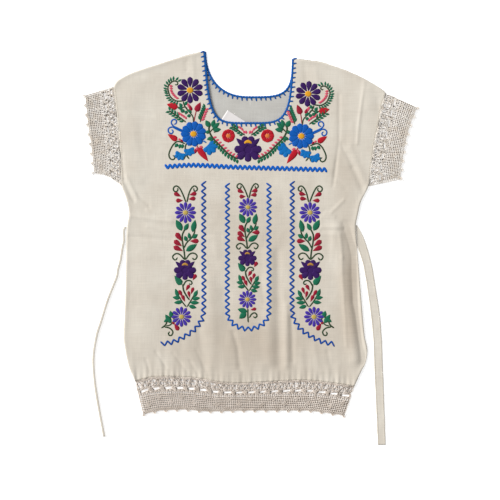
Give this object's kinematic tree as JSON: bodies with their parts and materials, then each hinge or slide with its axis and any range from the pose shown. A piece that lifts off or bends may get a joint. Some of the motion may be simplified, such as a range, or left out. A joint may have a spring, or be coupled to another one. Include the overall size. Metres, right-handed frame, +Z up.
{
  "type": "mexican embroidered tunic dress, laid flat",
  "caption": "Short-sleeved cotton tunic dress laid flat, with lace at cuffs and gathered hem, a squared neck with a stitched rim, a tie at each side and flower embroidery down its front.",
  "frame": {"origin": "on the surface that the dress lies on, under the centre line of its front, level with the roots of the waist ties", "axes": "+X to the viewer's right across the front, +Y along the dress towards the neck, +Z up from the surface through the back and then the front"},
  "size_m": [0.7156, 0.8454, 0.008],
  "materials": {
    "cotton_cloth": "matt unbleached plain weave",
    "crochet_lace": "matt crocheted cotton thread",
    "neck_stitching": "satin embroidery thread",
    "label_tape": "satin woven tape"
  },
  "bodies": {
    "root": {"front_panel": "cotton_cloth", "back_panel": "cotton_cloth", "left_tie": "cotton_cloth", "right_tie": "cotton_cloth", "hem_lace_front": "crochet_lace", "hem_lace_back": "crochet_lace", "left_cuff_lace_front": "crochet_lace", "left_cuff_lace_back": "crochet_lace", "right_cuff_lace_front": "crochet_lace", "right_cuff_lace_back": "crochet_lace", "neck_rim_front": "neck_stitching", "neck_rim_back": "neck_stitching", "neck_label": "label_tape"}
  },
  "joints": []
}
